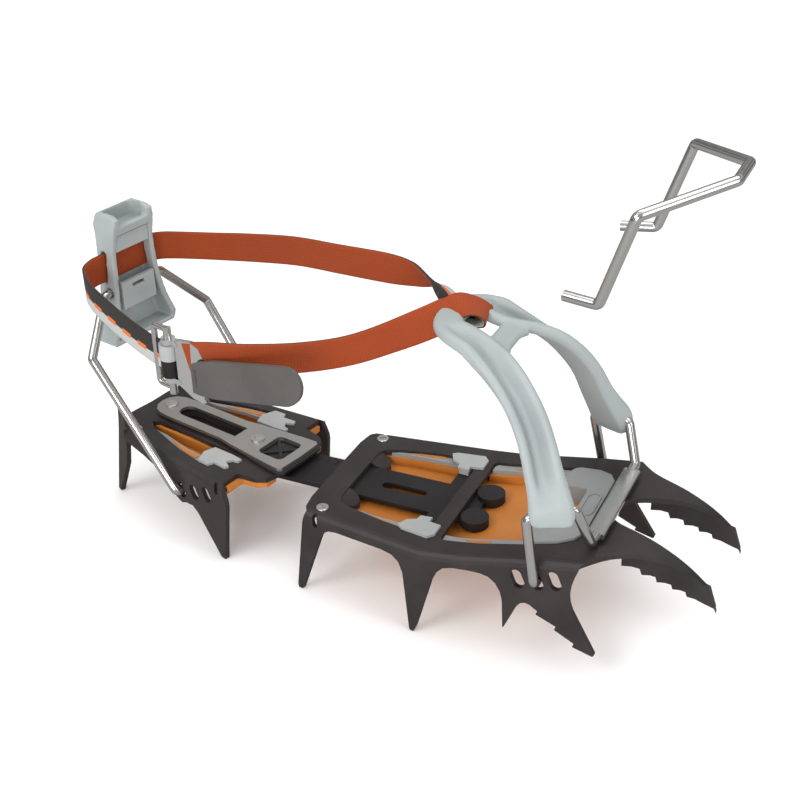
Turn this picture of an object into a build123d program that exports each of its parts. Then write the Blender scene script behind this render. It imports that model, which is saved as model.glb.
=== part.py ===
from build123d import *
import math
import os

os.makedirs("parts", exist_ok=True)

# ---------------------------------------------------------------- sizes, mm
# Origin: middle of the front section's rear bridge, on its top face.
# +X points to the toe, +Y to the far side, +Z up out of the plates.
SHEET = 2.5              # pressed steel of both frames
POINT_DEPTH = 42.5       # top of the plates down to the tips of the down points
FRONT_REAR_X = -9.3      # rear edge of the front plate
FRONT_KINK_X = 55.0      # where the front plate is widest and starts to rise
FRONT_REAR_HALF = 39.6   # half width at the rear corners, over the walls
FRONT_HALF = 47.3        # half width at the kink, over the walls
FRONT_POINT_X = 183.9    # tips of the two front points
FRONT_POINT_Y = 23.0     # their distance from the middle
BEND_R = 3.4             # outer radius of the pressed bends

BAR_W = 24.2             # link bar between the sections
BAR_T = 2.2
BAR_GAP = 0.3            # between the plates' undersides and the bar
BAR_NARROW_W = 17.0      # the bar inside the heel section
BAR_HOLE_D = 4.4
BAR_HOLE_PITCH = 6.0

HEEL_YAW = -12.26        # the heel section turns inwards along the bar
HEEL_Y = -8.07           # where its middle line crosses x = 0
HEEL_REAR_X = -134.0
HEEL_FRONT_X = -47.6
HEEL_HALF = 38.9         # half width over the walls at the front corners

WIRE_D = 4.6             # toe and heel bails
WIRE_FIT = 0.3           # play of the wires in their slots
TOE_AXIS = (110.8, 0.3)  # x and z of the slots that hold the toe bail
HEEL_AXIS = (-78.4, -16.0)
LEVER_AXIS = (-136.5, 69.0)

ADJ_T = 1.8              # stainless adjuster spring
ADJ_Z = 1.6              # its underside above the heel plate
STRAP_W = 15.0
STRAP_T = 1.4
CLEAR = 0.3              # between moving pieces that only face each other

BAR_TOP = -SHEET - BAR_GAP
BAR_BOTTOM = BAR_TOP - BAR_T
HEEL = Location((0, HEEL_Y, 0), (0, 0, HEEL_YAW))


# ---------------------------------------------------------------- small tools
def save(name, shape):
    """Write one node, leaving out slivers that a trim can shave off."""
    solids = [s for s in shape.solids() if s.volume > 0.5]
    node = solids[0] if len(solids) == 1 else Compound(children=solids)
    node.label = name
    export_step(node, f"parts/{name}.step")


def prism(pts, z0, z1):
    """A straight block standing on a flat outline."""
    face = Face(Wire.make_polygon([Vector(x, y, z0) for x, y in pts], close=True))
    return extrude(face, amount=z1 - z0, dir=(0, 0, 1))


def both(half):
    """A whole outline from its +Y half, given from rear to front."""
    return [(x, y) for x, y in half] + [(x, -y) for x, y in reversed(half) if y > 1e-6]


def mirror_y(shape):
    return mirror(shape, about=Plane.XZ)


def pair(shape):
    return Compound(children=[shape, mirror_y(shape)])


def leaning(p, q, r):
    """y on the plane through three points, as a function of x and z."""
    a, b, c = Vector(*p), Vector(*q), Vector(*r)
    n = (b - a).cross(c - a)
    return lambda x, z: a.Y - (n.X * (x - a.X) + n.Z * (z - a.Z)) / n.Y


def wall(outline, side, t=SHEET):
    """A flat wall of sheet on a leaning plane, its outline given in x and z."""
    pts = [Vector(x, side(x, z), z) for x, z in outline]
    face = Face(Wire.make_polygon(pts, close=True))
    n = face.normal_at()
    if n.Y > 0:
        n = -n
    return extrude(face, amount=t, dir=tuple(n))


def outside(side, x0, x1, z0=-60, z1=30):
    """Everything beyond a leaning plane, to trim a plate flush with its wall."""
    pts = [Vector(x, side(x, z), z) for x, z in [(x0, z0), (x1, z0), (x1, z1), (x0, z1)]]
    face = Face(Wire.make_polygon(pts, close=True))
    n = face.normal_at()
    if n.Y < 0:
        n = -n
    return extrude(face, amount=25, dir=tuple(n))


def bend_cut(side, top, xs, radius):
    """What a pressed bend leaves out of a sharp corner, along the edge between a plate and its wall."""
    cutters = []
    for xa, xb in zip(xs[:-1], xs[1:]):
        p = Vector(xa, side(xa, top(xa)), top(xa))
        q = Vector(xb, side(xb, top(xb)), top(xb))
        d = (q - p).normalized()
        down = Vector(0, side(xa, top(xa) - 1) - side(xa, top(xa)), -1)
        u = (Vector(0, -1, 0) - d * Vector(0, -1, 0).dot(d)).normalized()
        v = (down - d * down.dot(d)).normalized()
        a = p - d * 0.2
        arc = [a + u * (radius * (1 - math.sin(t))) + v * (radius * (1 - math.cos(t)))
               for t in (0, math.pi / 6, math.pi / 3, math.pi / 2)]
        outline = arc + [arc[-1] - u * 2, a - u * 2 - v * 2, arc[0] - v * 2]
        cutters.append(extrude(Face(Wire.make_polygon(outline, close=True)), amount=(q - p).length + 0.4, dir=tuple(d)))
    return cutters


def slot_cut(x, z, length, width, tilt, y0, y1):
    """A long hole through a wall, leaning by tilt degrees from upright."""
    plane = Plane(origin=(x, y1, z), x_dir=(1, 0, 0), z_dir=(0, -1, 0))
    sk = plane * Rot(0, 0, 90 + tilt) * SlotOverall(length, width)
    return extrude(sk, amount=abs(y1 - y0))


def rod(points, d, bend=4.0):
    """Round wire bent through points, its corners rounded."""
    path = FilletPolyline(*points, radius=bend)
    start = path @ 0
    tangent = path % 0
    return sweep(Plane(origin=start, z_dir=tangent) * Circle(d / 2), path=path)


def smooth(stations, n):
    """Even steps along a smooth line through stations, each a tuple of numbers."""
    out = []
    m = len(stations)
    for k in range(n + 1):
        u = k / n * (m - 1)
        i = min(int(u), m - 2)
        t = u - i
        p = [stations[max(0, min(m - 1, i + j))] for j in (-1, 0, 1, 2)]
        out.append(tuple(
            0.5 * (2 * b + (c - a) * t + (2 * a - 5 * b + 4 * c - d) * t * t
                   + (3 * b - a - 3 * c + d) * t ** 3)
            for a, b, c, d in zip(*p)))
    return out


def ribbon(rows):
    """A flat band: each row is x, y, z, the way its width points, its width and thickness."""
    wires = []
    pts = [Vector(*r[:3]) for r in rows]
    for i, r in enumerate(rows):
        along = (pts[min(i + 1, len(pts) - 1)] - pts[max(i - 1, 0)]).normalized()
        across = Vector(*r[3:6])
        across = (across - along * across.dot(along)).normalized()
        out = along.cross(across)
        a, o = across * (r[6] / 2), out * (r[7] / 2)
        wires.append(Wire.make_polygon(
            [pts[i] + a + o, pts[i] - a + o, pts[i] - a - o, pts[i] + a - o], close=True))
    return Solid.make_loft(wires, True)


# ---------------------------------------------------------------- front frame
# The side view of the front plate's top: flat, then rising towards the toe,
# then curving down along the two front points.
RISE = [(55.0, 0.0), (75.0, 2.6), (95.0, 6.8), (112.0, 10.3), (128.0, 13.2), (143.0, 14.3),
        (155.0, 13.6), (162.0, 12.0), (168.0, 9.7), (174.0, 6.2), (179.0, 1.6)]


def top_z(x):
    if x <= RISE[0][0]:
        return 0.0
    for (xa, za), (xb, zb) in zip(RISE[:-1], RISE[1:]):
        if x <= xb:
            return za + (zb - za) * (x - xa) / (xb - xa)
    return RISE[-1][1]


def side_curve(dz, y):
    a = Line((-20, y, dz), (RISE[0][0], y, dz))
    b = Spline(*[(x, y, z + dz) for x, z in RISE], tangents=[(1, 0, 0.05), (0.62, 0, -0.78)])
    c = Line((RISE[-1][0], y, RISE[-1][1] + dz), (FRONT_POINT_X + 0.6, y, -9.6 + dz))
    return [a, b, c]


def layer(d0, d1):
    """The slab between two depths below the front plate's top."""
    up = side_curve(-d0, -70)
    low = side_curve(-d1, -70)
    e0 = Line(up[0] @ 0, low[0] @ 0)
    e1 = Line(up[2] @ 1, low[2] @ 1)
    face = Face(Wire([*[e.edge() for e in up], *[e.edge() for e in low], e0.edge(), e1.edge()]))
    return extrude(face, amount=140, dir=(0, 1, 0))


front_side = leaning((-3.5, FRONT_REAR_HALF, 0), (FRONT_KINK_X, FRONT_HALF, 0), (52.8, 50.9, -POINT_DEPTH))
toe_side = leaning((FRONT_KINK_X, FRONT_HALF, 0), (52.8, 50.9, -POINT_DEPTH), (138.8, 48.7, -30.3))

# Plan of the plate's +Y half; the horns that carry the front points are smooth curves.
horn_out = [(129.0, 45.2), (134.0, 39.6), (140.0, 34.2), (147.0, 30.6), (155.0, 27.9), (163.0, 25.7),
            (171.0, 24.3), (178.0, 23.5), (FRONT_POINT_X + 0.4, FRONT_POINT_Y + 0.1)]
horn_in = [(FRONT_POINT_X + 0.4, FRONT_POINT_Y - 0.1), (178.0, 22.5), (171.0, 21.5), (163.0, 19.8),
           (155.0, 17.4), (147.0, 14.6), (140.0, 12.0), (134.0, 8.6), (131.0, 4.6), (130.2, 0.0)]


def front_plan(z0, z1):
    rear = [(130.2, 0), (FRONT_REAR_X, 0), (FRONT_REAR_X, 26), (-8.0, 34.5), (-3.5, FRONT_REAR_HALF + 0.4),
            (FRONT_KINK_X, FRONT_HALF + 0.4), (129.0, 45.9), horn_out[0]]
    edges = [Line((*a, z0), (*b, z0)).edge() for a, b in zip(rear[:-1], rear[1:])]
    edges.append(Spline(*[(x, y, z0) for x, y in horn_out]).edge())
    edges.append(Line((*horn_out[-1], z0), (*horn_in[0], z0)).edge())
    edges.append(Spline(*[(x, y, z0) for x, y in horn_in]).edge())
    half = extrude(Face(Wire(edges)), amount=z1 - z0, dir=(0, 0, 1))
    return half + mirror_y(half)


window_rear = both([(3.5, 0), (3.5, 20), (5.2, 24.4), (12, 27.4), (30, 31.2), (51, 34.2), (53, 32.5), (53, 0)])
window_front = both([(60.5, 0), (60.5, 33.2), (62, 34.8), (80, 34.8), (100, 33.3), (115, 31), (121.5, 27.5),
                     (124.5, 22), (124.5, 0)])

plate = layer(0, SHEET) & front_plan(-30, 30)
plate -= prism(window_rear, -20, 20)
plate -= prism(window_front, -20, 40)

rear_teeth = [(-5.2, 6), (-6.4, 0), (-7.7, -6), (-10.6, -40.5), (-10.2, -POINT_DEPTH), (-7.9, -POINT_DEPTH),
              (-7.2, -40.5), (2.6, -10.5), (4.3, -7.6), (7.2, -5.9), (11.5, -5.2), (36.0, -5.2),
              (41.5, -6.0), (45.2, -8.6), (47.4, -13.2), (51.6, -41.0), (52.2, -POINT_DEPTH),
              (52.8, -POINT_DEPTH), (55.0, 0.0), (55.3, 6)]
toe_teeth = [(54.7, 6), (55.0, 0.0), (52.8, -POINT_DEPTH), (53.9, -POINT_DEPTH), (55.0, -40.0), (62.0, -13.2),
             (64.2, -8.2), (67.5, -5.0), (72.0, -3.7), (79.0, -3.0), (84.6, -2.8), (88.8, -3.6),
             (92.2, -5.9), (94.6, -9.6), (95.8, -14.0), (96.6, -27.8), (97.2, -27.4), (102.6, -15.0),
             (104.2, -13.0), (106.2, -12.2), (108.4, -12.6), (112.2, -14.9), (111.5, -16.8),
             (120.9, -20.4), (120.3, -22.3), (129.5, -26.8), (128.9, -28.7), (138.2, -31.1),
             (138.9, -30.2), (127.6, -11.0), (126.2, -7.4), (125.7, -3.4), (126.1, 0.8), (127.2, 5.0),
             (128.7, 9.0), (129.0, 11.5), (129.0, 24), (54.7, 24)]

walls = wall(rear_teeth, front_side) + wall(toe_teeth, toe_side)
beyond = outside(front_side, -30, FRONT_KINK_X + 0.01) + outside(toe_side, FRONT_KINK_X - 0.01, 129.0)
above = layer(-60, 0)

# The two front points: a vertical blade with hooked teeth under each horn.
blade_low = [(141.8, 12.5), (141.8, 2.2), (146.5, 3.1), (150.0, 2.9), (151.1, 0.0), (154.6, 0.8), (157.2, 0.6),
             (157.9, -1.9), (161.6, -1.2), (164.2, -1.4), (164.9, -3.6), (168.2, -3.1), (170.6, -3.4),
             (171.3, -5.6), (175.0, -5.9), (179.2, -7.3), (FRONT_POINT_X, -8.6)]
blade_pts = blade_low + [(180.6, 1.4), (178.6, 2.0), (173.8, 6.2), (168.0, 9.6), (162.0, 11.9), (155.0, 13.4)]
blade_face = Face(Wire.make_polygon([Vector(x, FRONT_POINT_Y - SHEET / 2, z) for x, z in blade_pts], close=True))
blade = extrude(blade_face, amount=SHEET, dir=(0, 1, 0))

half = walls - above
half -= Pos(100, 0, 0) * Box(400, 0.01, 200)
frame = plate + half + mirror_y(half) + blade + mirror_y(blade)
frame -= beyond
frame -= mirror_y(beyond)
for cutter in (bend_cut(front_side, top_z, (-12, FRONT_KINK_X), BEND_R)
               + bend_cut(toe_side, top_z, (FRONT_KINK_X, 75, 95, 112, 131), BEND_R)):
    frame -= cutter
    frame -= mirror_y(cutter)

# Three slots a side for the toe bail, and a relief slit in each rear bend.
SLOT_W = WIRE_D + 2 * WIRE_FIT
slots = Compound(children=[
    slot_cut(x, z, 9.2, SLOT_W, 24, 30, 60)
    for x, z in ((102.3, -1.0), TOE_AXIS, (118.9, 2.2))])
frame -= slots
frame -= mirror_y(slots)
slit = slot_cut(-0.6, -3.2, 6.4, 2.6, 8, 37.6, 60)
frame -= slit
frame -= mirror_y(slit)

# Turned-down lips beside the bar, in front of the rear bridge.
lip_plan = extrude(Pos(5.6, 17.6, -12) * Rot(0, 0, 90) * SlotOverall(11.5, 10.5), amount=20)
lip_slab = Pos(5.6, 17.6, -3.0) * Rot(0, 28, 0) * Box(22, 30, SHEET)
lip = lip_plan & lip_slab
bar_tunnel = Box(60, BAR_W + 1.0, 6).moved(Location((0, 0, BAR_TOP + 0.2 - 3.0)))
lip -= bar_tunnel
lip -= prism([(-30, 0), (2.0, 0), (2.0, 40), (-30, 40)], -1.0, 20)
frame += lip
frame += mirror_y(lip)


def rivet(x, y, z, r, head, shank_r, depth, drive):
    """A turned rivet: domed head, shank and a driving slot across the head."""
    body = Pos(x, y, z + head / 2) * Cylinder(r, head)
    body = body.fillet(head * 0.55, body.edges().filter_by(GeomType.CIRCLE).sort_by(Axis.Z)[-1:])
    body += Pos(x, y, z - depth / 2) * Cylinder(shank_r, depth)
    return body - Pos(x, y, z + head) * Rot(0, 0, drive) * Box(r * 1.1, r * 0.32, head)


RIVET_R = 3.1
front_rivet = rivet(0, 33.0, 0.0, RIVET_R, 0.9, 1.6, SHEET, 30)
save("front_rivets", pair(front_rivet))
rivet_bores = pair(Pos(0, 33.0, -1) * Cylinder(1.6, SHEET * 4))
frame -= rivet_bores
save("front_frame", frame)

# ---------------------------------------------------------------- front pads
FLOOR_TOP = 7.6
FLOOR_BOTTOM = 9.2
pad_plan = both([(-4.5, 0), (-4.5, 31.5), (1.0, 35.6), (54.0, 42.6), (92.0, 41.0), (98.0, 35.8),
                 (121.0, 34.6), (128.4, 27.0), (129.6, 14.0), (129.6, 0)])
inner_plan = both([(-2.5, 0), (-2.5, 30.5), (1.8, 33.6), (54.0, 40.4), (90.0, 38.8), (96.5, 33.8),
                   (119.5, 32.6), (126.3, 26.0), (127.2, 14.0), (127.2, 0)])
membrane = layer(FLOOR_TOP, FLOOR_BOTTOM) & prism(pad_plan, -30, 30)
rim = layer(SHEET, FLOOR_BOTTOM) & (prism(pad_plan, -30, 30) - prism(inner_plan, -31, 31))
membrane += rim
shoulder_rear = [(5, 24.0), (20, 26.0), (40, 27.0), (54, 27.2), (54, 36.5), (30, 33.5), (5, 29.5)]
shoulder_front = [(60, 27.6), (80, 28.2), (99.5, 27.2), (99.5, 35), (80, 37), (60, 36.8)]
for outline in (shoulder_rear, shoulder_front):
    block = layer(3.4, FLOOR_BOTTOM) & prism(outline, -30, 30)
    membrane += block
    membrane += mirror_y(block)
membrane -= Pos(0, 0, 0) * Box(30, BAR_W + 1.2, 15)
membrane -= lip
membrane -= mirror_y(lip)
membrane -= rivet_bores
save("front_membrane", membrane)

trim_rear = [(8.6, 25.2), (12, 27.1), (30, 30.9), (50.7, 33.8), (52.4, 32.2), (52.4, 28.4), (40, 27.9),
             (24, 27.2), (14, 26.2)]
trim_front = [(61.0, 29.2), (61.0, 33.0), (62.2, 34.4), (80, 34.4), (99.4, 33.0), (99.4, 28.4), (80, 29.4),
              (68, 29.8)]
trims = []
for outline in (trim_rear, trim_front):
    trims.append(layer(1.4, 3.4) & prism(outline, -30, 30))
inlay_plans = ([(18, 28.2), (26, 28.6), (33, 29.6), (36.5, 31.2), (34, 31.6), (24, 29.8)],
               [(72, 31.2), (84, 31.4), (84, 33.2), (76, 33.2)])
inlays = [layer(1.1, 2.2) & prism(o, -30, 30) for o in inlay_plans]
trim = Compound(children=[t - i for t, i in zip(trims, inlays)])
save("front_trim", Compound(children=[*trim.solids(), *mirror_y(trim).solids()]))
save("front_inlays", Compound(children=[*inlays, *[mirror_y(i) for i in inlays]]))

clip_plan = [(38.5, 32.4), (41.0, 27.4), (45.2, 25.4), (45.6, 22.2), (51.4, 21.6), (51.2, 25.0), (57.4, 26.0),
             (57.4, 33.0), (54.6, 36.2), (41.0, 34.2)]
clip = layer(-1.35, -0.05) & prism(clip_plan, -10, 20)
clip_leg = layer(-0.1, 2.6) & prism([(46.0, 22.6), (51.0, 22.2), (51.0, 27.0), (46.0, 27.0)], -30, 30)
clip += clip_leg
save("front_clips", pair(clip - trims[0]))

pad_out = both([(100.0, 0), (100.0, 27.0), (101.8, 31.0), (104.5, 32.4), (114.6, 30.6), (121.0, 27.1),
                (124.1, 21.8), (124.1, 0)])
pad_in = both([(90.0, 0), (90.0, 15.6), (106.0, 15.0), (113.2, 13.6), (114.2, 11.4), (114.2, 0)])
toe_pad = layer(-1.0, FLOOR_TOP) & (prism(pad_out, -30, 40) - prism(pad_in, -31, 41))
emboss = Pos(119.2, 0, 0) * extrude(Rot(0, 0, 90) * SlotOverall(19, 7.2), amount=40)
emboss_in = Pos(119.2, 0, 0) * extrude(Rot(0, 0, 90) * SlotOverall(17.4, 5.6), amount=40)
toe_pad += layer(-1.5, 0) & (emboss - emboss_in)
save("toe_pad", toe_pad)

# ---------------------------------------------------------------- link bar
KINK = HEEL_Y / math.tan(math.radians(-HEEL_YAW)) if HEEL_YAW else 0.0
bar = prism([(KINK, -BAR_W / 2), (48, -BAR_W / 2 - 0.8), (62.0, -12.6), (62.0, 12.6), (48, BAR_W / 2 + 0.8),
             (KINK, BAR_W / 2)], BAR_BOTTOM, BAR_TOP)
bar += prism([(45.6, -26.7), (51.6, -26.7), (51.6, 26.7), (45.6, 26.7)], BAR_BOTTOM, BAR_TOP)
for s in (-1, 1):
    bar += Pos(67.8, s * 10.6, (BAR_BOTTOM - 0.6) / 2) * Cylinder(6.6, -BAR_BOTTOM - 0.6)
bar += prism([(61.0, -8), (66.6, -8), (66.6, 8), (61.0, 8)], BAR_BOTTOM, BAR_TOP)
bar -= Pos(77.0, 0, -3) * Cylinder(7.0, 10)
bar -= Pos(27.0, 0, BAR_BOTTOM - 1) * extrude(SlotOverall(23, 5.0), amount=6)
bar += Pos(KINK, 0, (BAR_TOP + BAR_BOTTOM) / 2) * Cylinder(BAR_W / 2, BAR_T)
KINK_H = -math.hypot(KINK, HEEL_Y)
heel_bar = prism([(-110.0, -6.5), (-107.0, -BAR_NARROW_W / 2), (-46.0, -BAR_NARROW_W / 2),
                  (-41.0, -BAR_W / 2), (KINK_H, -BAR_W / 2), (KINK_H, BAR_W / 2), (-41.0, BAR_W / 2),
                  (-46.0, BAR_NARROW_W / 2), (-107.0, BAR_NARROW_W / 2), (-110.0, 6.5)], BAR_BOTTOM, BAR_TOP)
for k in range(8):
    heel_bar -= Pos(-104.0 + k * BAR_HOLE_PITCH, 0, BAR_BOTTOM) * Cylinder(BAR_HOLE_D / 2, 8)
bar += HEEL * heel_bar
for k in range(4):
    bar += Pos(-14.0 - k * 4.6, 8.6, BAR_TOP + 0.1) * Box(1.0, 3.4, 0.3)
save("link_bar", bar)

# ---------------------------------------------------------------- heel frame
heel_side = leaning((-118.0, 30.4, 0), (HEEL_FRONT_X, HEEL_HALF, 0), (-48.7, HEEL_HALF + 1.2, -POINT_DEPTH))
corner_side = leaning((-125.5, 26.6, 0), (-136.5, 22.2, 0), (-138.5, 26.4, -POINT_DEPTH))
heel_plan = both([(-133.6, 0), (-134.2, 12), (-133.8, 23.3), (-125.5, 27.0), (-118.0, 30.8), (-84.0, 35.4),
                  (HEEL_FRONT_X, HEEL_HALF + 0.3), (HEEL_FRONT_X, 25.6), (-37.7, 24.0), (-33.2, 21.0),
                  (-31.4, 14.0), (-31.4, 0)])
heel_window = [(-118.0, 14.6), (-112.5, 18.6), (-86.0, 26.2), (-70.0, 29.0), (-60.0, 24.6), (-57.5, 17.0),
               (-58.5, 13.6), (-108.0, 11.0), (-115.0, 12.0)]
heel_plate = prism(heel_plan, -SHEET, 0)
heel_cut = prism(heel_window, -10, 10)
heel_plate -= heel_cut
heel_plate -= mirror_y(heel_cut)
heel_plate -= Pos(-87.0, 0, -8) * extrude(SlotOverall(46, 10.0), amount=16)
heel_teeth = [(-124.5, 4), (-124.2, -5.0), (-118.0, -6.6), (-108.3, -8.2), (-100.0, -10.4), (-92.0, -12.6),
              (-88.2, -17.0), (-83.0, -21.6), (-78.6, -23.4), (-74.8, -21.8), (-70.0, -21.4), (-66.2, -23.8),
              (-49.7, -POINT_DEPTH), (-46.8, -POINT_DEPTH), (-43.6, -11.0), (-43.9, -8.0), (-46.9, 0.0),
              (-46.9, 4)]
corner_teeth = [(-135.8, 6.2), (-134.9, 7.0), (-130.2, 7.9), (-129.2, 7.2), (-127.2, 0.5), (-125.2, -7.0),
                (-125.7, -21.0), (-135.5, -POINT_DEPTH), (-138.4, -POINT_DEPTH), (-135.4, -6.0), (-135.2, 0)]
heel_wall = wall(heel_teeth, heel_side) - prism([(-140, 0), (-20, 0), (-20, 80), (-140, 80)], 0, 20)
corner_wall = wall(corner_teeth, corner_side)
heel_beyond = outside(heel_side, -124.5, HEEL_FRONT_X) + outside(corner_side, -145, -124.4, -60, 0)
heel_frame = heel_plate + heel_wall + mirror_y(heel_wall) + corner_wall + mirror_y(corner_wall)
heel_frame -= heel_beyond
heel_frame -= mirror_y(heel_beyond)
for cutter in bend_cut(heel_side, lambda x: 0.0, (-123.0, HEEL_FRONT_X + 1), BEND_R):
    heel_frame -= cutter
    heel_frame -= mirror_y(cutter)
heel_slots = Compound(children=[
    slot_cut(x, z, 8.4, SLOT_W, 28, 20, 60) for x, z in (HEEL_AXIS, (-68.2, -13.0), (-58.2, -10.0))])
heel_frame -= heel_slots
heel_frame -= mirror_y(heel_slots)
heel_slit = slot_cut(-50.6, -3.0, 6.4, 2.6, 8, 36.6, 60)
heel_frame -= heel_slit
heel_frame -= mirror_y(heel_slit)
STUD_X = -57.0
STUD_R = 2.6
STUD_PLAY = 0.8          # lets the stud swing out with the spring
RIVET_PLAY = 0.4
ADJ_RIVET_R = 1.9
heel_frame -= Pos(STUD_X, 0, -1) * Cylinder(STUD_R + STUD_PLAY, 8)
PIVOT_X = -118.0
heel_frame -= Pos(PIVOT_X, 0, -1) * Cylinder(ADJ_RIVET_R + RIVET_PLAY, 8)
heel_rivet_bores = pair(Pos(-119.0, 24.4, -1) * Cylinder(1.5, 8))
heel_frame -= heel_rivet_bores
save("heel_frame", HEEL * heel_frame)

heel_rivet = rivet(-119.0, 24.4, 0.0, 2.6, 0.8, 1.5, SHEET, 20)
save("heel_rivets", HEEL * pair(heel_rivet))

# ---------------------------------------------------------------- heel pads
FLOOR_H = -7.6
heel_pad_plan = [(-122.0, 12.2), (-120.0, 23.4), (-86.0, 31.2), (-52.0, 35.0), (-49.4, 33.0), (-49.4, 13.6),
                 (-60.0, 11.2)]
heel_pad_inner = [(-120.0, 14.0), (-118.2, 21.8), (-85.6, 29.0), (-53.0, 32.8), (-52.0, 31.4), (-52.0, 15.4),
                  (-60.4, 13.2)]
heel_pad = prism(heel_pad_plan, FLOOR_H - 1.6, -SHEET) - prism(heel_pad_inner, FLOOR_H, 0)
heel_pad += prism([(-116, 18.0), (-86, 25.0), (-70, 27.6), (-62, 23.4), (-62, 31), (-88, 29), (-116, 21.6)],
                  FLOOR_H - 1.6, -3.4)
heel_pad -= pair(Pos(-119.0, 24.4, -4) * Cylinder(2.2, 12))
save("heel_membranes", HEEL * pair(heel_pad))
flap = prism([(-126.6, 17.0), (-126.6, 21.4), (-118.0, 24.6), (-108.0, 25.0), (-108.0, 20.0)], -14.5, FLOOR_H - 1.6)
lip_front = prism([(-49.0, 13.8), (-49.0, 34.4), (-46.2, 34.8), (-45.4, 25.0), (-37.0, 23.4), (-33.4, 20.4),
                   (-33.4, 13.8)], -5.6, -SHEET)
save("heel_pad_flaps", HEEL * Compound(children=[flap, mirror_y(flap), lip_front, mirror_y(lip_front)]))
heel_band = [(-113.0, 17.6), (-86.0, 25.8), (-71.0, 28.6), (-64.0, 25.8), (-66.0, 22.8), (-86.0, 21.6),
             (-104.0, 18.2)]
heel_inlay = [(-98.0, 19.9), (-86.0, 22.6), (-76.0, 23.6), (-76.0, 26.4), (-84.0, 25.2), (-94.0, 22.2)]
heel_trim = prism(heel_band, -3.4, -1.4)
heel_inlay_solid = prism(heel_inlay, -2.4, -1.1)
heel_trim -= heel_inlay_solid
save("heel_trim", HEEL * pair(heel_trim))
save("heel_inlays", HEEL * pair(heel_inlay_solid))
heel_clip = prism([(-72.0, 15.6), (-74.0, 21.8), (-71.0, 28.8), (-64.5, 29.2), (-63.0, 26.0), (-55.4, 26.6),
                   (-54.6, 24.4), (-58.4, 22.4), (-56.6, 19.4), (-53.6, 18.8), (-53.4, 16.4), (-60.0, 15.6)],
                  0.05, 1.3)
heel_clip += prism([(-71.0, 17.0), (-66.0, 17.0), (-66.0, 22.4), (-71.0, 21.4)], -3.4, 0.1)
heel_clip -= prism(heel_band, -4.0, 0.0)
save("heel_clips", HEEL * pair(heel_clip))

# Channel that carries the bar inside the heel section.
GUIDE_HALF = BAR_NARROW_W / 2 + CLEAR
guide = prism([(-116.0, -11.0), (-52.0, -11.0), (-52.0, 11.0), (-116.0, 11.0)], BAR_BOTTOM - CLEAR - 1.8, -SHEET)
guide -= prism([(-115.0, -GUIDE_HALF), (-50.0, -GUIDE_HALF), (-50.0, GUIDE_HALF), (-115.0, GUIDE_HALF)],
               BAR_BOTTOM - CLEAR, 0)
save("bar_guide", HEEL * guide)

# ---------------------------------------------------------------- adjuster
adj_half = [(-125.0, 0), (-124.2, 4.2), (-121.4, 7.6), (-117.0, 9.4), (-111.0, 9.9), (-74.0, 10.0),
            (-66.0, 11.4), (-52.0, 13.0), (-38.0, 14.6), (-31.2, 14.9), (-29.4, 13.4), (-28.9, 0)]
adj_out = both(adj_half)
adj = prism(adj_out, ADJ_Z, ADJ_Z + ADJ_T)
adj -= prism([(-110.5, 0), (-109.4, -3.2), (-106.4, -4.7), (-68.5, -4.7), (-68.5, 4.7), (-106.4, 4.7),
              (-109.4, 3.2)], ADJ_Z - 2, ADJ_Z + 6)
window = extrude(Pos(-42.3, 0, ADJ_Z - 2) * RectangleRounded(15.4, 17.4, 3.0), amount=8)
adj -= window
adj -= Pos(PIVOT_X, 0, ADJ_Z) * Cylinder(ADJ_RIVET_R, 8)
adj -= Pos(STUD_X, 0, ADJ_Z) * Cylinder(STUD_R - 0.9, 8)
save("adjuster_spring", HEEL * adj)

pivot = rivet(PIVOT_X, 0, ADJ_Z + ADJ_T, 3.4, 0.9, ADJ_RIVET_R, ADJ_Z + ADJ_T + SHEET, 25)
save("adjuster_rivet", HEEL * pivot)
SPACER_GAP = 0.5
spacer = Pos(PIVOT_X, 0, (ADJ_Z + SPACER_GAP) / 2) * (
    Cylinder(3.6, ADJ_Z - SPACER_GAP) - Cylinder(ADJ_RIVET_R, ADJ_Z * 3))
save("adjuster_spacer", HEEL * spacer)
stud = Pos(STUD_X, 0, (ADJ_Z + BAR_TOP + 0.2) / 2) * Cylinder(STUD_R, ADJ_Z - BAR_TOP - 0.2)
stud += Pos(STUD_X, 0, ADJ_Z + ADJ_T / 2) * Cylinder(STUD_R - 0.9, ADJ_T)
stud += Pos(STUD_X, 0, ADJ_Z + ADJ_T + 0.45) * Cylinder(3.4, 0.9)
stud -= Pos(STUD_X, 0, ADJ_Z + ADJ_T + 0.9) * Rot(0, 0, 25) * Box(3.8, 1.1, 0.9)
save("locking_stud", HEEL * stud)

grip_out = both([(-62.0, 0), (-62.0, 11.0), (-50.0, 13.8), (-37.0, 16.0), (-30.4, 16.2), (-27.6, 13.6), (-27.2, 0)])
grip = prism(grip_out, CLEAR, ADJ_Z)
grip -= Pos(STUD_X, 0, 1) * Cylinder(STUD_R + 0.05, 8)
grip -= extrude(Pos(-42.3, 0, 0.9) * RectangleRounded(14.0, 16.0, 2.4), amount=8)
for turn in (45, -45):
    rib = Pos(-42.3, 0, 1.35) * Rot(0, 0, turn) * Box(19.0, 1.6, 0.9)
    grip += rib & prism([(-49.6, -8.2), (-35.0, -8.2), (-35.0, 8.2), (-49.6, 8.2)], 0, 4)
save("adjuster_grip", HEEL * grip)

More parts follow.
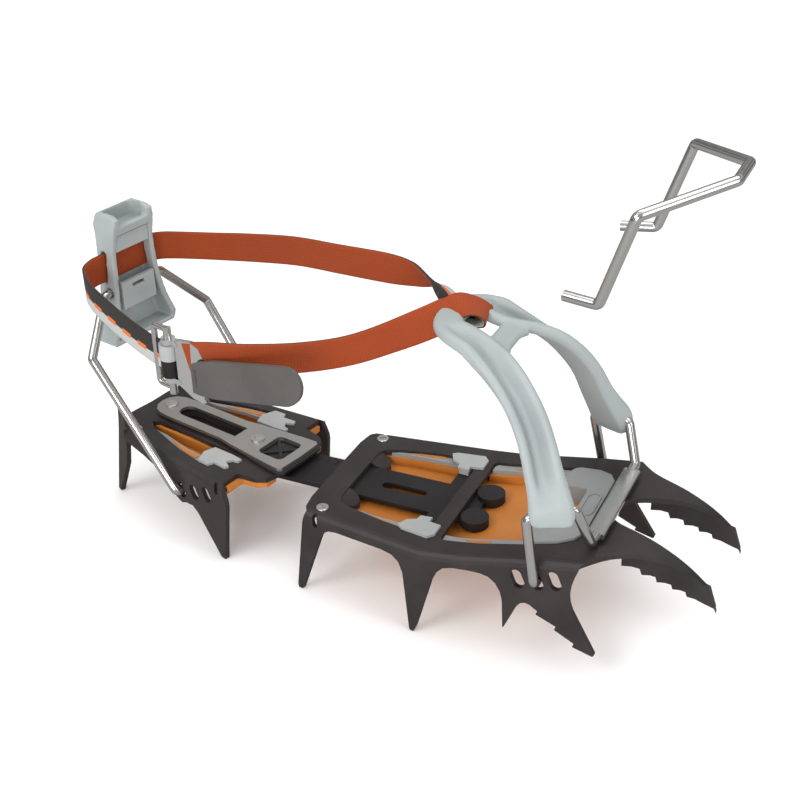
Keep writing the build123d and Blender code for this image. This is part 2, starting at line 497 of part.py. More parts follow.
# ---------------------------------------------------------------- heel bail
HEEL_LEG_Y = heel_side(*HEEL_AXIS) + WIRE_D / 2 + 0.6
hx, hz = HEEL_AXIS
lx, lz = LEVER_AXIS
LEVER_HALF = 15.0
heel_wire = rod([(hx, HEEL_LEG_Y - 9.0, hz), (hx, HEEL_LEG_Y, hz), (-126.5, 40.4, 45.6), (lx, 19.0, lz),
                 (lx, -19.0, lz), (-126.5, -40.4, 45.6), (hx, -HEEL_LEG_Y, hz), (hx, -HEEL_LEG_Y + 9.0, hz)],
                WIRE_D, 2.6)
save("heel_bail_wire", HEEL * heel_wire)

# Heel lever: a tapering tray, open to the boot, with a thumb cup on top.
width_at = [(42.0, 20.5), (46.0, 21.6), (50.0, 20.4), (58.0, 17.8), (68.0, 15.8), (80.0, 14.6), (92.0, 13.8),
            (104.0, 13.6), (109.5, 12.4), (111.0, 9.5)]
face_pts = [(y, z) for z, y in width_at] + [(-y, z) for z, y in reversed(width_at)]
front_face = Face(Wire.make_polygon([Vector(-160, y, z) for y, z in face_pts], close=True))
lever_block = extrude(front_face, amount=60, dir=(1, 0, 0))
side_pts = [(-130.6, 42.0), (-129.6, 48.0), (-131.2, 60.0), (-132.4, 74.0), (-132.4, 90.0), (-131.0, 98.0),
            (-129.6, 104.0), (-129.2, 108.0), (-131.5, 109.5), (-138.0, 111.0), (-143.0, 110.0), (-144.6, 106.0),
            (-144.2, 92.0), (-143.6, 76.0), (-143.6, 60.0), (-144.4, 48.0), (-144.0, 42.0)]
side_face = Face(Wire.make_polygon([Vector(x, -40, z) for x, z in side_pts], close=True))
lever_block = lever_block & extrude(side_face, amount=80, dir=(0, 1, 0))
cup = Pos(-137.9, 0, 108.5) * Box(8.8, 20.5, 14.0)
cup = cup.fillet(3.0, cup.edges().filter_by(Axis.Z))
lever_block -= cup
lever_block -= Pos(-130.0, 0, 112.0) * Box(12.0, 18.6, 15.4)
well_face = Face(Wire.make_polygon(
    [Vector(-141.0, y, z) for y, z in [(18.6, 44.5), (17.4, 50.0), (14.4, 58.0), (12.6, 68.0), (11.6, 80.0),
                                       (11.0, 99.4), (-11.0, 99.4), (-11.6, 80.0), (-12.6, 68.0),
                                       (-14.4, 58.0), (-17.4, 50.0), (-18.6, 44.5)]], close=True))
lever_block -= extrude(well_face, amount=30, dir=(1, 0, 0))
LEVER_BORE = WIRE_D / 2 + 0.08
lever_block -= Pos(lx, 0, lz) * Rot(90, 0, 0) * Cylinder(LEVER_BORE, 60)
STRAP_Z = 82.0
strap_slit = Pos(-139.4, 0, STRAP_Z) * Box(3.6, 60, STRAP_W + 1.6)
lever_block -= strap_slit
save("heel_lever", HEEL * lever_block)

bridge = Pos(-134.0, 0, 94.4) * Box(2.4, 2 * 10.97, 7.8)
save("lever_bridge", HEEL * bridge)
SLIDER_X = lx + WIRE_D / 2 + CLEAR
slider = Pos(SLIDER_X + 1.0, 0, 66.6) * Box(2.0, 22.0, 14.4)
slider -= Pos(SLIDER_X, 0, 70.6) * Box(8, 8.0, 1.9)
save("height_slider", HEEL * slider)
keeper = Pos(-140.1, 0, 56.5) * Rot(0, 90, 0) * Cylinder(3.0, 1.8)
save("slider_screw", HEEL * keeper)

# ---------------------------------------------------------------- toe bail
tx, tz = TOE_AXIS
TOE_LEG_Y = toe_side(tx, tz) + WIRE_D / 2 + 0.6
toe_pts = [(tx, TOE_LEG_Y - 9.0, tz), (tx, TOE_LEG_Y, tz), (105.6, TOE_LEG_Y - 3.0, 30.6),
           (113.5, TOE_LEG_Y - 6.9, 37.0), (124.6, TOE_LEG_Y - 10.8, 35.8), (130.4, TOE_LEG_Y - 16.2, 17.0),
           (130.4, TOE_LEG_Y - 22.4, 17.0)]
toe_leg = rod(toe_pts, WIRE_D, 2.2)
BAR_FLAT_W = 8.0
toe_bar = Pos(130.4, 0, 17.0) * Box(BAR_FLAT_W, 2 * (TOE_LEG_Y - 22.0), 3.0)
toe_bar = toe_bar.fillet(1.0, toe_bar.edges().filter_by(Axis.Y))
toe_wire = toe_leg + mirror_y(toe_leg) + toe_bar
save("toe_bail_wire", toe_wire)

# Harness: two arms from the instep to the loops of the toe bail, joined by two bridges.
arm_rows = [(50.0, 11.4, 96.2, 12.0, 4.6, 0), (59.0, 13.6, 95.4, 18.0, 5.2, 0), (68.3, 15.6, 92.9, 19.5, 5.8, 2),
            (74.7, 17.9, 90.0, 19.0, 6.0, 4), (83.3, 21.7, 85.9, 18.0, 6.2, 8), (92.0, 26.4, 79.7, 17.4, 6.4, 12),
            (99.4, 30.4, 71.2, 17.0, 6.4, 18), (104.8, 33.8, 61.9, 17.2, 6.4, 28),
            (109.0, TOE_LEG_Y - 12.7, 50.9, 18.0, 6.6, 40), (113.5, TOE_LEG_Y - 8.8, 40.0, 19.4, 8.6, 58),
            (115.8, TOE_LEG_Y - 6.4, 33.0, 18.6, 9.4, 68), (116.2, TOE_LEG_Y - 5.8, 29.8, 14.0, 7.4, 70)]


def arm_across(swing):
    """The way an arm's width points: across the foot above, along the wire's loop below."""
    c, s = math.cos(math.radians(swing)), math.sin(math.radians(swing))
    return -0.1 * c - 0.92 * s, c + 0.38 * s, -0.25 * s


arm = ribbon([(x, y, z, *arm_across(swing), w, t) for x, y, z, w, t, swing in smooth(arm_rows, 26)])
web = Pos(71.5, 0, 91.4) * Rot(0, 24, 0) * Box(13.0, 26.0, 4.4)
rear_bridge = Pos(52.6, 0, 96.1) * Box(6.0, 18.0, 3.8)
harness = arm + mirror_y(arm) + web + rear_bridge
harness -= Pos(60.2, 0, 94.0) * Box(9.0, 11.0, 20.0)
path_fit = rod([(tx, TOE_LEG_Y - 9.0, tz), *toe_pts[1:]], WIRE_D + 0.2, 2.2)
harness -= path_fit
harness -= mirror_y(path_fit)
save("harness", harness)

# ---------------------------------------------------------------- strap
# Rows in the heel section's frame: x, y, z of the middle of the band.
near_run = [(-34.0, -46.6, 78.0), (-18.0, -42.0, 80.0), (0.0, -28.0, 80.0), (16.0, -12.0, 81.5),
            (31.0, 4.0, 86.0), (46.0, 17.0, 91.0)]
far_run = [(-139.4, 17.8, STRAP_Z), (-130.0, 28.0, 81.0), (-110.0, 37.0, 82.0), (-85.0, 38.0, 87.0), (-55.0, 36.0, 93.5),
           (-25.0, 33.0, 98.0), (5.0, 31.0, 102.0), (24.0, 31.0, 102.0), (36.5, 30.0, 100.8)]
heel_run = [(-139.4, -17.8, STRAP_Z), (-139.0, -27.0, 81.0), (-128.0, -34.5, 78.0), (-110.0, -39.5, 75.0),
            (-92.0, -43.0, 72.0), (-76.0, -46.0, 70.5)]


def band(rows, n, width=STRAP_W, thick=STRAP_T):
    return ribbon([(x, y, z, 0.0, 0.0, 1.0, width, thick) for x, y, z in smooth(rows, n)])


save("strap_to_buckle", HEEL * band(near_run, 18))
save("strap_far", HEEL * band(far_run, 26))
save("strap_heel", HEEL * band(heel_run, 18))
through = Pos(-139.4, 0, STRAP_Z) * Box(STRAP_T, 32.6, STRAP_W - 0.4)
save("strap_in_lever", HEEL * through)

# ---------------------------------------------------------------- buckle
PIN_X, PIN_Y, PIN_Z = -62.0, -47.0, 69.0
pin = Pos(PIN_X, PIN_Y, PIN_Z - 1.0) * Cylinder(1.9, 34.0)
ring = rod([(PIN_X - 0.5, PIN_Y, PIN_Z + 15.0), (PIN_X - 9.0, PIN_Y + 0.5, PIN_Z + 15.0),
            (PIN_X - 9.0, PIN_Y + 0.5, PIN_Z - 15.0), (PIN_X - 0.5, PIN_Y, PIN_Z - 15.0)], 3.0, 2.0)
save("buckle_ring", HEEL * (pin + ring))

LOOP_IN = 2.2
keeper_top = Pos(PIN_X, PIN_Y, PIN_Z + 4.2) * (Cylinder(4.6, 7.6) - Cylinder(LOOP_IN, 20))
keeper_low = Pos(PIN_X, PIN_Y, PIN_Z - 4.2) * (Cylinder(4.4, 8.4) - Cylinder(LOOP_IN, 20))
save("strap_loop_grey", HEEL * keeper_top)
save("strap_loop_dark", HEEL * keeper_low)

plate_pts = [(PIN_X + 5.2, 80.4), (PIN_X + 8.0, 81.0), (PIN_X + 15.0, 82.2), (PIN_X + 20.0, 80.5), (PIN_X + 22.6, 76.0),
             (PIN_X + 23.0, 70.6), (PIN_X + 20.6, 71.6), (PIN_X + 19.0, 73.4), (PIN_X + 16.4, 72.0),
             (PIN_X + 15.6, 67.0), (PIN_X + 17.2, 61.0), (PIN_X + 21.0, 55.6), (PIN_X + 22.4, 53.4),
             (PIN_X + 20.0, 52.2), (PIN_X + 14.0, 53.0), (PIN_X + 7.0, 56.6), (PIN_X + 5.2, 57.2)]
hook_face = Face(Wire.make_polygon([Vector(x, PIN_Y - 1.2, z) for x, z in plate_pts], close=True))
hook = extrude(hook_face, amount=2.2, dir=(0, 1, 0))
for z in (78.6, 59.0):
    eye = Pos(PIN_X, PIN_Y, z) * (Cylinder(3.4, 2.6) - Cylinder(1.98, 8))
    arm_eye = Pos(PIN_X + 4.4, PIN_Y, z) * Box(4.8, 3.6, 2.6)
    arm_eye -= Pos(PIN_X, PIN_Y, z) * Cylinder(1.98, 8)
    hook += eye + arm_eye
save("buckle_hook", HEEL * hook)

TAB_X0 = PIN_X + 17.6
TAB_LEN = 66.0
TAB_HALF = 9.6
tab_round = [math.radians(90 - k * 15) for k in range(13)]
tab_pts = [(0, -7.2), (0, 7.2), (5, 8.6), (14, TAB_HALF)] + [
    (TAB_LEN - TAB_HALF + TAB_HALF * math.cos(a), TAB_HALF * math.sin(a)) for a in tab_round] + [
    (14, -TAB_HALF), (5, -8.6)]
tab_face = Face(Wire.make_polygon([Vector(TAB_X0 + x, PIN_Y - 4.4, 66.0 + z + x * 0.245) for x, z in tab_pts],
                                  close=True))
tab = extrude(tab_face, amount=1.8, dir=(0, 1, 0))
bead_face = Face(Wire.make_polygon([Vector(TAB_X0 + x, PIN_Y - 4.7, 66.0 + z * 0.86 + x * 0.245) for x, z in
                                    [(0.4, -5.0), (0.4, 5.0), (2.6, 5.0), (2.6, -5.0)]], close=True))
tab += extrude(bead_face, amount=6.6, dir=(0, 1, 0))
save("pull_tab", HEEL * tab)

# ---------------------------------------------------------------- spare toe bail
SPARE_Y = 11.6
spare_half = [(111.6, 37.6, 127.6), (127.0, 41.2, 127.9), (140.4, 42.4, 167.5), (169.8, 10.4, 174.2)]
spare_pts = [(x, SPARE_Y - y, z) for x, y, z in spare_half] + [(x, SPARE_Y + y, z) for x, y, z in reversed(spare_half)]
save("spare_toe_bail", rod(spare_pts, WIRE_D, 2.6))
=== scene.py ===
# %% [markdown]
# A crampon is two toothed steel plates that clip under a boot, joined by a sliding bar.
# The plates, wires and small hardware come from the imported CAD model, which is the fixed frame.
# Here they get their finishes, and the soft or moulded parts are modelled again in finer form.

# %% Load the frame
import math

import bmesh
import bpy
from mathutils import Matrix, Vector


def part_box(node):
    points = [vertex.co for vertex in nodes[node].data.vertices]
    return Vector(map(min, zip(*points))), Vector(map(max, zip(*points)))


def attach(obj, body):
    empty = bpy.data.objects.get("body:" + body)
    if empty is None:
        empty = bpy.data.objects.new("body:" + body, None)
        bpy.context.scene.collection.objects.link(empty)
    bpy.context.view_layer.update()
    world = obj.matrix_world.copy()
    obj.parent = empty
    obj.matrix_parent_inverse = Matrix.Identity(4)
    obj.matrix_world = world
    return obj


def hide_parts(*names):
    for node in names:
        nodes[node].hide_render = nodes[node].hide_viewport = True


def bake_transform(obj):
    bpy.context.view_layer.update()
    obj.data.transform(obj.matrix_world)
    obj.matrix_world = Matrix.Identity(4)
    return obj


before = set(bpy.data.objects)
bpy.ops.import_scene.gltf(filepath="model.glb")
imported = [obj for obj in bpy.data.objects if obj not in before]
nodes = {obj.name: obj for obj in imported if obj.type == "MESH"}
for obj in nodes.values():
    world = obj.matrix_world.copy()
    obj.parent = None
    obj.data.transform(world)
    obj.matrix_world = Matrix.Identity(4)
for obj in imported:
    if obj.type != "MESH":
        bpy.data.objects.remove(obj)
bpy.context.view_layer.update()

# %% [markdown]
# The camera comes first. It stands to the right of the toe side and looks down a little,
# so both plates, the bails and the strap are seen at once. A studio for a metal object is
# mostly large soft lights and a bright surround, because steel shows what it reflects.

# %% Camera
turn, tip, roll = math.radians(25.61), math.radians(30.22), math.radians(-1.56)
back = Vector((math.sin(turn) * math.cos(tip), -math.cos(turn) * math.cos(tip), math.sin(tip)))
right = Vector((math.cos(turn), math.sin(turn), 0))
up = back.cross(right)
right, up = right * math.cos(roll) + up * math.sin(roll), up * math.cos(roll) - right * math.sin(roll)
camera = bpy.data.objects.new("camera", bpy.data.cameras.new("camera"))
camera.data.lens = 62.2
camera.data.sensor_width = 36
camera.data.clip_start = 0.01
camera.matrix_world = Matrix.Translation((0.2650, -0.4987, 0.3687)) @ Matrix(
    (right, up, back)).transposed().to_4x4()
bpy.context.scene.collection.objects.link(camera)
bpy.context.scene.camera = camera
print("camera at", [round(v, 3) for v in camera.location])

# %% [markdown]
# Cloth and plastic are lit by an even white room, so shadows stay soft. Steel would turn flat
# white in such a room, so rays that bounce off shiny faces meet a darker one instead.

# %% Room
world = bpy.data.worlds.new("studio")
bpy.context.scene.world = world
world.use_nodes = True
sky = world.node_tree


def sky_node(kind, settings, sockets):
    n = sky.nodes.new(kind)
    for key, value in settings.items():
        setattr(n, key, value)
    for key, value in sockets.items():
        if hasattr(value, "node"):
            sky.links.new(value, n.inputs[key])
        else:
            n.inputs[key].default_value = value
    return n


# A darker room with a bright ceiling, for reflections only
way = sky_node("ShaderNodeTexCoord", {}, {}).outputs["Generated"]
height = sky_node("ShaderNodeSeparateXYZ", {}, {0: way}).outputs[2]
bands = sky_node("ShaderNodeTexWave", {"bands_direction": "Z"},
                 {"Vector": way, "Scale": 0.9, "Distortion": 1.5})
tone = sky_node("ShaderNodeMapRange", {"clamp": True}, {0: height, 1: -0.05, 2: 0.8, 3: 0.1, 4: 1.0})
room = sky_node("ShaderNodeMath", {"operation": "MULTIPLY"}, {0: tone.outputs[0], 1: bands.outputs["Fac"]})
lift = sky_node("ShaderNodeMath", {"operation": "ADD"}, {0: room.outputs[0], 1: 0.08})
paths = sky_node("ShaderNodeLightPath", {}, {})
level = sky_node("ShaderNodeMix", {"data_type": "FLOAT"},
                 {0: paths.outputs["Is Glossy Ray"], 2: 1.0, 3: lift.outputs[0]})
sky.nodes["Background"].inputs["Color"].default_value = (1, 1, 1, 1)
sky.links.new(level.outputs[0], sky.nodes["Background"].inputs["Strength"])
bpy.context.scene.view_settings.view_transform = "Standard"

# %% [markdown]
# Four large soft lamps shape the pieces: a key from the left, a weaker one above, a small one
# from the right, and a low one in front that opens up the dark skirts. The floor is a plain
# sheet just under the tips of the points.


# %% Lamps and floor
def soft_light(name, place, aim, size, power):
    lamp = bpy.data.lights.new(name, "AREA")
    lamp.shape, lamp.size, lamp.size_y, lamp.energy = "RECTANGLE", size[0], size[1], power
    holder = bpy.data.objects.new(name, lamp)
    holder.location = place
    holder.rotation_euler = (Vector(aim) - Vector(place)).to_track_quat("-Z", "Y").to_euler()
    bpy.context.scene.collection.objects.link(holder)


soft_light("key", (-0.5, -0.9, 1.0), (0, 0, 0.03), (0.7, 0.5), 6)
soft_light("over", (0.1, 0.3, 1.2), (0, 0, 0), (1.0, 0.6), 4.5)
soft_light("side", (1.0, -0.3, 0.5), (0.05, 0, 0.02), (0.4, 0.6), 2)
soft_light("front", (0.25, -1.2, 0.3), (0.02, 0, -0.01), (0.6, 0.3), 6)


def only(piece):
    """Select one piece and nothing else, in object mode."""
    if bpy.context.object and bpy.context.object.mode != "OBJECT":
        bpy.ops.object.mode_set(mode="OBJECT")
    bpy.ops.object.select_all(action="DESELECT")
    piece.select_set(True)
    bpy.context.view_layer.objects.active = piece
    return piece


FLOOR_GAP = 0.0002
bpy.ops.object.select_all(action="DESELECT")
bpy.ops.mesh.primitive_plane_add(size=6, location=(0, 0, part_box("front_frame")[0].z - FLOOR_GAP))
floor = bpy.context.object
floor.name = "floor"

# %% [markdown]
# Finishes are node materials. A small class wraps a socket so that shader maths can be
# written as ordinary sums, and one method makes every other node: its type, its settings
# first, then what goes into its sockets.


# %% Shader helpers
class Value:
    """An output socket that can be used in sums."""

    def __init__(self, finish, socket):
        self.finish, self.socket = finish, socket

    def sum(self, operation, a, b):
        return self.finish.node("ShaderNodeMath", {"operation": operation}, {0: a, 1: b})

    def __add__(self, other):
        return self.sum("ADD", self, other)

    def __radd__(self, other):
        return self.sum("ADD", other, self)

    def __mul__(self, other):
        return self.sum("MULTIPLY", self, other)

    def __rmul__(self, other):
        return self.sum("MULTIPLY", other, self)

    def __gt__(self, other):
        return self.sum("GREATER_THAN", self, other)

    def __lt__(self, other):
        return self.sum("LESS_THAN", self, other)


class Finish:
    """One material, made node by node."""

    def __init__(self, name, metallic=0.0, roughness=0.5, **fixed):
        self.material = bpy.data.materials.new(name)
        self.material.use_nodes = True
        self.tree = self.material.node_tree
        self.shader = self.tree.nodes["Principled BSDF"]
        self.shader.inputs["Metallic"].default_value = metallic
        self.shader.inputs["Roughness"].default_value = roughness
        for socket, value in fixed.items():
            self.shader.inputs[socket.replace("_", " ")].default_value = value
        self.place = self.node("ShaderNodeTexCoord", {}, {}, "Object")

    def node(self, kind, settings, sockets, output=0):
        n = self.tree.nodes.new(kind)
        for key, value in settings.items():
            setattr(n, key, value)
        for key, value in sockets.items():
            if isinstance(value, Value):
                self.tree.links.new(value.socket, n.inputs[key])
            else:
                n.inputs[key].default_value = value
        return Value(self, n.outputs[output])

    def stretched(self, x, y, z):
        return self.node("ShaderNodeMapping", {}, {"Vector": self.place, "Scale": (x, y, z)})

    def noise(self, scale, detail=3.0, where=None):
        return self.node("ShaderNodeTexNoise", {},
                         {"Vector": where or self.place, "Scale": scale, "Detail": detail})

    def mix(self, amount, a, b):
        first, second = [(*c, 1) if isinstance(c, tuple) else c for c in (a, b)]
        return self.node("ShaderNodeMix", {"data_type": "RGBA"}, {0: amount, 6: first, 7: second}, 2)

    def ramp(self, value, low, high):
        """0 below low, 1 above high."""
        return self.node("ShaderNodeMapRange", {"clamp": True}, {0: value, 1: low, 2: high, 3: 0.0, 4: 1.0})

    def bump(self, height, distance, strength=1.0):
        sockets = {"Height": height, "Distance": distance, "Strength": strength}
        self.into("Normal", self.node("ShaderNodeBump", {}, sockets))

    def into(self, socket, value):
        self.tree.links.new(value.socket, self.shader.inputs[socket])


def wear(*names, material):
    """Give CAD nodes one finish."""
    for name in names:
        nodes[name].data.materials.clear()
        nodes[name].data.materials.append(material)


# %% [markdown]
# The plates are pressed from steel and coated dark. The coat is a little uneven: it is
# smoother on the open faces, and fine specks in it catch the light. Broad noise varies the
# colour and the gloss, and very fine noise gives the tooth of the coat.

# %% Dark coated steel
def coated(name, deep, pale, rough):
    coat = Finish(name, metallic=0.35, Coat_Roughness=0.45)
    cloud, grain = coat.noise(45.0), coat.noise(1600.0, 2.0)
    coat.into("Base Color", coat.mix(coat.ramp(cloud * 0.8 + grain * 0.2, 0.35, 0.65), deep, pale))
    coat.into("Roughness", coat.ramp(cloud, 0.2, 0.8) * 0.14 + grain * 0.08 + rough)
    coat.bump(grain, 0.00006)
    return coat.material


plate_coat = coated("plate_coat", (0.026, 0.021, 0.02), (0.042, 0.035, 0.033), 0.4)
bar_coat = coated("bar_coat", (0.011, 0.009, 0.009), (0.02, 0.017, 0.017), 0.42)
wear("front_frame", "heel_frame", material=plate_coat)
wear("link_bar", material=bar_coat)

# %% [markdown]
# The bare metal parts are stainless: bright drawn wire for the bails, brushed sheet for the
# adjuster and a polished buckle. Drawn and brushed steel have fine lines along the work, so
# their noise is stretched one way, and only the gloss and a faint bump follow it.


# %% Stainless finishes
def stainless(name, colour, rough, spread, lines, depth=0.00002):
    steel = Finish(name, metallic=1.0)
    hair = steel.noise(1.0, 4.0, steel.stretched(*lines))
    cloud = steel.noise(60.0)
    steel.into("Base Color", steel.mix(cloud, tuple(c * 0.9 for c in colour), colour))
    steel.into("Roughness", hair * spread + cloud * 0.05 + rough)
    steel.bump(hair, depth, 0.6)
    return steel.material


wire_steel = stainless("wire_steel", (0.66, 0.65, 0.63), 0.12, 0.1, (200, 200, 200), 0.000003)
brushed = stainless("brushed_sheet", (0.54, 0.52, 0.49), 0.28, 0.18, (160, 2600, 2600))
mirror_steel = stainless("buckle_polish", (0.84, 0.84, 0.83), 0.08, 0.08, (900, 900, 160), 0.000003)
turned = stainless("turned_heads", (0.62, 0.61, 0.59), 0.2, 0.15, (1500, 1500, 300))
wear("heel_bail_wire", "toe_bail_wire", "spare_toe_bail", "buckle_ring", material=wire_steel)
wear("adjuster_spring", material=brushed)
wear("buckle_hook", material=mirror_steel)
wear("front_rivets", "heel_rivets", "adjuster_rivet", "adjuster_spacer", "locking_stud", "slider_screw",
     material=turned)

# %% [markdown]
# Plastic and rubber parts scatter light softly. The orange pads flex so that snow falls off
# them, and moulded grain gives them a satin look. The grey mouldings are smoother.


# %% Plastic and rubber
def moulded(name, deep, pale, rough, grain_size=900.0, grain_depth=0.00005, **fixed):
    plastic = Finish(name, **fixed)
    cloud, grain = plastic.noise(38.0), plastic.noise(grain_size, 2.0)
    plastic.into("Base Color", plastic.mix(plastic.ramp(cloud * 0.7 + grain * 0.3, 0.3, 0.7), deep, pale))
    plastic.into("Roughness", grain * 0.12 + cloud * 0.06 + rough)
    plastic.bump(grain, grain_depth)
    return plastic.material


pad_orange = moulded("pad_orange", (0.40, 0.13, 0.014), (0.51, 0.175, 0.026), 0.42)
pad_grey = moulded("pad_grey", (0.21, 0.217, 0.214), (0.26, 0.268, 0.265), 0.42)
clip_grey = moulded("clip_grey", (0.29, 0.3, 0.297), (0.34, 0.35, 0.345), 0.4)
shell_grey = moulded("shell_grey", (0.27, 0.3, 0.3), (0.32, 0.35, 0.35), 0.4, 1400.0, 0.00003,
                     Subsurface_Weight=0.08, Subsurface_Radius=(0.003, 0.003, 0.003))
black_mould = moulded("black_mould", (0.008, 0.008, 0.008), (0.016, 0.015, 0.015), 0.45)
tab_coat = moulded("tab_coat", (0.06, 0.055, 0.052), (0.085, 0.078, 0.074), 0.38)
wear("front_membrane", "heel_membranes", "heel_pad_flaps", "front_inlays", "heel_inlays", material=pad_orange)
wear("front_trim", "heel_trim", "toe_pad", material=pad_grey)
wear("front_clips", "heel_clips", material=clip_grey)
wear("bar_guide", "adjuster_grip", material=black_mould)
wear("lever_bridge", "height_slider", material=shell_grey)
wear("pull_tab", material=tab_coat)

# %% [markdown]
# The strap is woven in two colours: rust on the side that faces the boot, and on the other
# side charcoal over a light grey band, with orange dashes where they meet. The band carries
# its own map, with metres along it and across it, so the threads and the dashes keep their
# real size wherever the band bends.


# %% Woven strap
RIB_PITCH, PICK_PITCH, DASH_PITCH = 0.0011, 0.0013, 0.0128


def woven(name, paint):
    cloth = Finish(name, roughness=0.8, Sheen_Weight=0.03, Sheen_Roughness=0.5,
                   Specular_IOR_Level=0.25)
    map_uv = cloth.node("ShaderNodeUVMap", {"uv_map": "UVMap"}, {})
    across = cloth.node("ShaderNodeSeparateXYZ", {}, {0: map_uv}, 0)
    along = cloth.node("ShaderNodeSeparateXYZ", {}, {0: map_uv}, 1)

    def thread(value, pitch):
        return cloth.node("ShaderNodeMath", {"operation": "SINE"}, {0: value * (2 * math.pi / pitch)})

    rib = thread(across, RIB_PITCH) * 0.5 + 0.5
    pick = thread(along, PICK_PITCH) * 0.5 + 0.5
    weave = rib * 0.6 + pick * 0.4
    fuzz = cloth.noise(2200.0, 3.0)
    colour = paint(cloth, across, along)
    # Painted shade: the base colour is darkened in the hollows of the weave, where the threads dip, and fuzz
    # noise adds tone that differs at random.
    weave_shade_and_fuzz_mask = cloth.ramp(weave * 0.7 + fuzz * 0.4, 0.1, 0.9)
    painted_weave_shade_and_fuzz = cloth.mix(weave_shade_and_fuzz_mask, (0.35, 0.35, 0.35), (1, 1, 1))
    multiply = {"data_type": "RGBA", "blend_type": "MULTIPLY"}
    cloth.into("Base Color", cloth.node("ShaderNodeMix", multiply, {0: 0.42, 6: colour, 7: painted_weave_shade_and_fuzz}, 2))
    cloth.into("Roughness", fuzz * 0.15 + 0.66)
    cloth.bump(weave * 0.8 + fuzz * 0.3, 0.00012, 0.8)
    return cloth.material


def rust_side(cloth, across, along):
    patch = cloth.noise(25.0)
    return cloth.mix(patch, (0.265, 0.038, 0.005), (0.32, 0.05, 0.008))


def pattern_side(cloth, across, along):
    dark = cloth.mix(cloth.noise(25.0), (0.022, 0.019, 0.018), (0.034, 0.03, 0.028))
    step = cloth.node("ShaderNodeMath", {"operation": "FRACT"}, {0: along * (1 / DASH_PITCH)})
    dash = (step > 0.45) * (across < -0.0002) * (across > -0.0026)
    lower = across < -0.0014
    return cloth.mix(dash, cloth.mix(lower, dark, (0.42, 0.42, 0.4)), (0.62, 0.14, 0.03))


def dark_edge(cloth, across, along):
    return cloth.mix(cloth.noise(40.0), (0.03, 0.024, 0.02), (0.06, 0.045, 0.036))


strap_rust = woven("strap_rust", rust_side)
strap_pattern = woven("strap_pattern", pattern_side)
strap_edge = woven("strap_edge", dark_edge)
wear("strap_loop_grey", material=clip_grey)
wear("strap_loop_dark", material=bar_coat)

# %% [markdown]
# A flat band starts as a grid, one row of faces for each short step of its line. Its
# vertices are then set out along a smooth line, and Solidify gives it its thickness. The
# strap crosses the joints of the crampon, so it is made of lengths that each span one
# joint and meet on a part that both of them list.

# %% Strap helpers
HEEL_YAW = math.radians(-12.26)
HEEL_Y = -0.00807
STRAP_WIDTH, STRAP_THICK = 0.015, 0.0014


def heel_point(x, y, z):
    """A point given in the heel section's own directions, in metres from millimetres."""
    c, s = math.cos(HEEL_YAW), math.sin(HEEL_YAW)
    return Vector(((c * x - s * y) / 1000, HEEL_Y + (s * x + c * y) / 1000, z / 1000))


def mm(x, y, z):
    return Vector((x, y, z)) / 1000


def between(a, b, c, d, t):
    """A smooth step from b to c, where a comes before them and d after."""
    return 0.5 * (2 * b + (c - a) * t + (2 * a - 5 * b + 4 * c - d) * t * t + (3 * b - a - 3 * c + d) * t ** 3)


def smooth_line(rows, steps):
    """A smooth line through rows of (place, direction of the width)."""
    flat = [[*p, *a] for p, a in rows]
    out, last = [], len(flat) - 1
    for k in range(steps + 1):
        u = k / steps * last
        i = min(int(u), last - 1)
        t = u - i
        p0, p1, p2, p3 = (flat[max(0, min(last, i + j))] for j in (-1, 0, 1, 2))
        v = [between(a, b, c, d, t) for a, b, c, d in zip(p0, p1, p2, p3)]
        out.append((Vector(v[:3]), Vector(v[3:]).normalized()))
    square = []
    for i, (place, across) in enumerate(out):
        ahead = (out[min(i + 1, steps)][0] - out[max(i - 1, 0)][0]).normalized()
        square.append((place, (across - ahead * across.dot(ahead)).normalized()))
    return square


EDGE_STEPS = (-0.5, -0.47, -0.4, -0.2, 0.0, 0.2, 0.4, 0.47, 0.5)


def band(name, line, front, reverse, start):
    """A flat woven band along a line of places and width directions."""
    steps = len(line) - 1
    bpy.ops.object.select_all(action="DESELECT")
    bpy.ops.mesh.primitive_grid_add(x_subdivisions=steps, y_subdivisions=len(EDGE_STEPS) - 1, size=1)
    piece = bpy.context.object
    piece.name = name
    run = [start]
    for (a, _), (b, _) in zip(line[:-1], line[1:]):
        run.append(run[-1] + (b - a).length)
    at, thin = {}, []
    for v in piece.data.vertices:
        i = round((v.co.x + 0.5) * steps)
        j = round((v.co.y + 0.5) * (len(EDGE_STEPS) - 1))
        side = EDGE_STEPS[j]
        if j in (0, len(EDGE_STEPS) - 1):
            thin.append(v.index)
        place, across = line[i]
        at[v.index] = (side * STRAP_WIDTH, run[i])
        v.co = place + across * (side * STRAP_WIDTH)
    uv = piece.data.uv_layers["UVMap"].data
    for loop in piece.data.loops:
        uv[loop.index].uv = at[loop.vertex_index]
    only(piece)
    for finish in (front, reverse, strap_edge):
        piece.data.materials.append(finish)
    group = piece.vertex_groups.new(name="full")
    group.add([v.index for v in piece.data.vertices], 1.0, "REPLACE")
    group.add(thin, 0.5, "REPLACE")
    solid = piece.modifiers.new("thickness", "SOLIDIFY")
    solid.thickness, solid.offset = STRAP_THICK, 0
    solid.material_offset, solid.material_offset_rim = 1, 2
    solid.vertex_group = "full"
    bpy.ops.object.modifier_apply(modifier="thickness")
    bpy.ops.object.shade_smooth_by_angle(angle=math.radians(50))
    return piece, run[-1]


